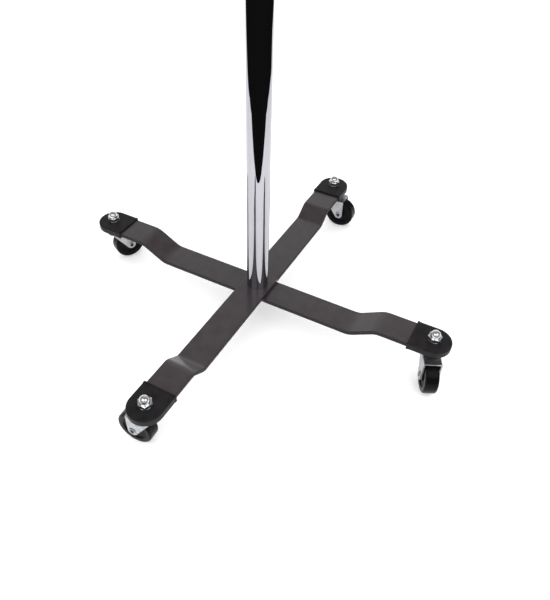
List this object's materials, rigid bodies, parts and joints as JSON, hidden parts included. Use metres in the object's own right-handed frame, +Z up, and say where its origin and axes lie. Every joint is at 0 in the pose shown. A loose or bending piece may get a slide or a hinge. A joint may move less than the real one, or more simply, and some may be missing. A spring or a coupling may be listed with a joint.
{
  "type": "infusion stand",
  "caption": "Telescoping infusion stand: chrome pole with a twist lock and bag hooks on a crossed flat-bar base with swivel casters.",
  "frame": {"origin": "on the pole's axis at floor level, midway between the leg ends", "axes": "+Z up along the pole, +X along the lower leg bar and the hooks, +Y along the upper leg bar"},
  "size_m": [0.5927, 0.6024, 1.2988],
  "materials": {
    "bar_coating": "satin dark grey powder coat with a fine metallic fleck",
    "pole_chrome": "mirror-bright chrome plate",
    "nut_chrome": "bright chrome plate",
    "zinc_plate": "bright zinc plate, slightly cloudy",
    "bright_steel": "ground steel",
    "cap_plastic": "black moulded plastic with a fine grain",
    "seal_rubber": "black rubber",
    "wheel_core_plastic": "black moulded nylon",
    "wheel_tread": "smooth glossy black tread",
    "lock_plastic": "black moulded nylon, lightly textured",
    "guide_plastic": "natural acetal"
  },
  "bodies": {
    "base": {"lower_cross_bar": "bar_coating", "upper_cross_bar": "bar_coating", "outer_tube": "pole_chrome", "foot_plug": "bright_steel", "foot_bolt": "zinc_plate", "foot_washer": "zinc_plate", "end_cap_right": "cap_plastic", "end_cap_rear": "cap_plastic", "end_cap_left": "cap_plastic", "end_cap_front": "cap_plastic", "acorn_nuts": "nut_chrome", "cap_washers": "nut_chrome", "caster_stems": "zinc_plate", "upper_races": "zinc_plate", "dust_seals": "seal_rubber", "bearing_balls": "bright_steel", "collet_body": "lock_plastic", "split_collet": "guide_plastic"},
    "lock": {"lock_collar": "lock_plastic"},
    "mast": {"inner_tube": "pole_chrome", "guide_bush": "guide_plastic", "hook_hub": "pole_chrome", "hook_left": "pole_chrome", "hook_right": "pole_chrome", "hub_screw": "zinc_plate"},
    "caster_right": {"fork_right": "zinc_plate", "axle_bush_right": "bright_steel", "axle_rivet_right": "zinc_plate"},
    "wheel_right": {"wheel_core_right": "wheel_core_plastic", "wheel_tyre_right": "wheel_tread"},
    "caster_rear": {"fork_rear": "zinc_plate", "axle_bush_rear": "bright_steel", "axle_rivet_rear": "zinc_plate"},
    "wheel_rear": {"wheel_core_rear": "wheel_core_plastic", "wheel_tyre_rear": "wheel_tread"},
    "caster_left": {"fork_left": "zinc_plate", "axle_bush_left": "bright_steel", "axle_rivet_left": "zinc_plate"},
    "wheel_left": {"wheel_core_left": "wheel_core_plastic", "wheel_tyre_left": "wheel_tread"},
    "caster_front": {"fork_front": "zinc_plate", "axle_bush_front": "bright_steel", "axle_rivet_front": "zinc_plate"},
    "wheel_front": {"wheel_core_front": "wheel_core_plastic", "wheel_tyre_front": "wheel_tread"}
  },
  "joints": [
    {"name": "mast_slide", "type": "slide", "parent": "base", "child": "mast", "axis": [0, 0, 1], "range_m": [0, 0.9]},
    {"name": "collar_twist", "type": "hinge", "parent": "base", "child": "lock", "pos_m": [0, 0, 1.2297], "axis": [0, 0, 1], "range_deg": [0, 90]},
    {"name": "swivel_right", "type": "hinge", "parent": "base", "child": "caster_right", "pos_m": [0.271, 0, 0.0548], "axis": [0, 0, 1], "continuous": true},
    {"name": "spin_right", "type": "hinge", "parent": "caster_right", "child": "wheel_right", "pos_m": [0.27905, -0.01666, 0.0254], "axis": [0.9003, 0.4352, 0], "continuous": true},
    {"name": "swivel_rear", "type": "hinge", "parent": "base", "child": "caster_rear", "pos_m": [0, 0.277, 0.0548], "axis": [0, 0, 1], "continuous": true},
    {"name": "spin_rear", "type": "hinge", "parent": "caster_rear", "child": "wheel_rear", "pos_m": [0.0185, 0.27729, 0.0254], "axis": [-0.0157, 0.9999, 0], "continuous": true},
    {"name": "swivel_left", "type": "hinge", "parent": "base", "child": "caster_left", "pos_m": [-0.271, 0, 0.0548], "axis": [0, 0, 1], "continuous": true},
    {"name": "spin_left", "type": "hinge", "parent": "caster_left", "child": "wheel_left", "pos_m": [-0.26304, 0.0167, 0.0254], "axis": [-0.9026, 0.4305, 0], "continuous": true},
    {"name": "swivel_front", "type": "hinge", "parent": "base", "child": "caster_front", "pos_m": [0, -0.277, 0.0548], "axis": [0, 0, 1], "continuous": true},
    {"name": "spin_front", "type": "hinge", "parent": "caster_front", "child": "wheel_front", "pos_m": [-0.01849, -0.27758, 0.0254], "axis": [0.0314, -0.9995, 0], "continuous": true}
  ]
}
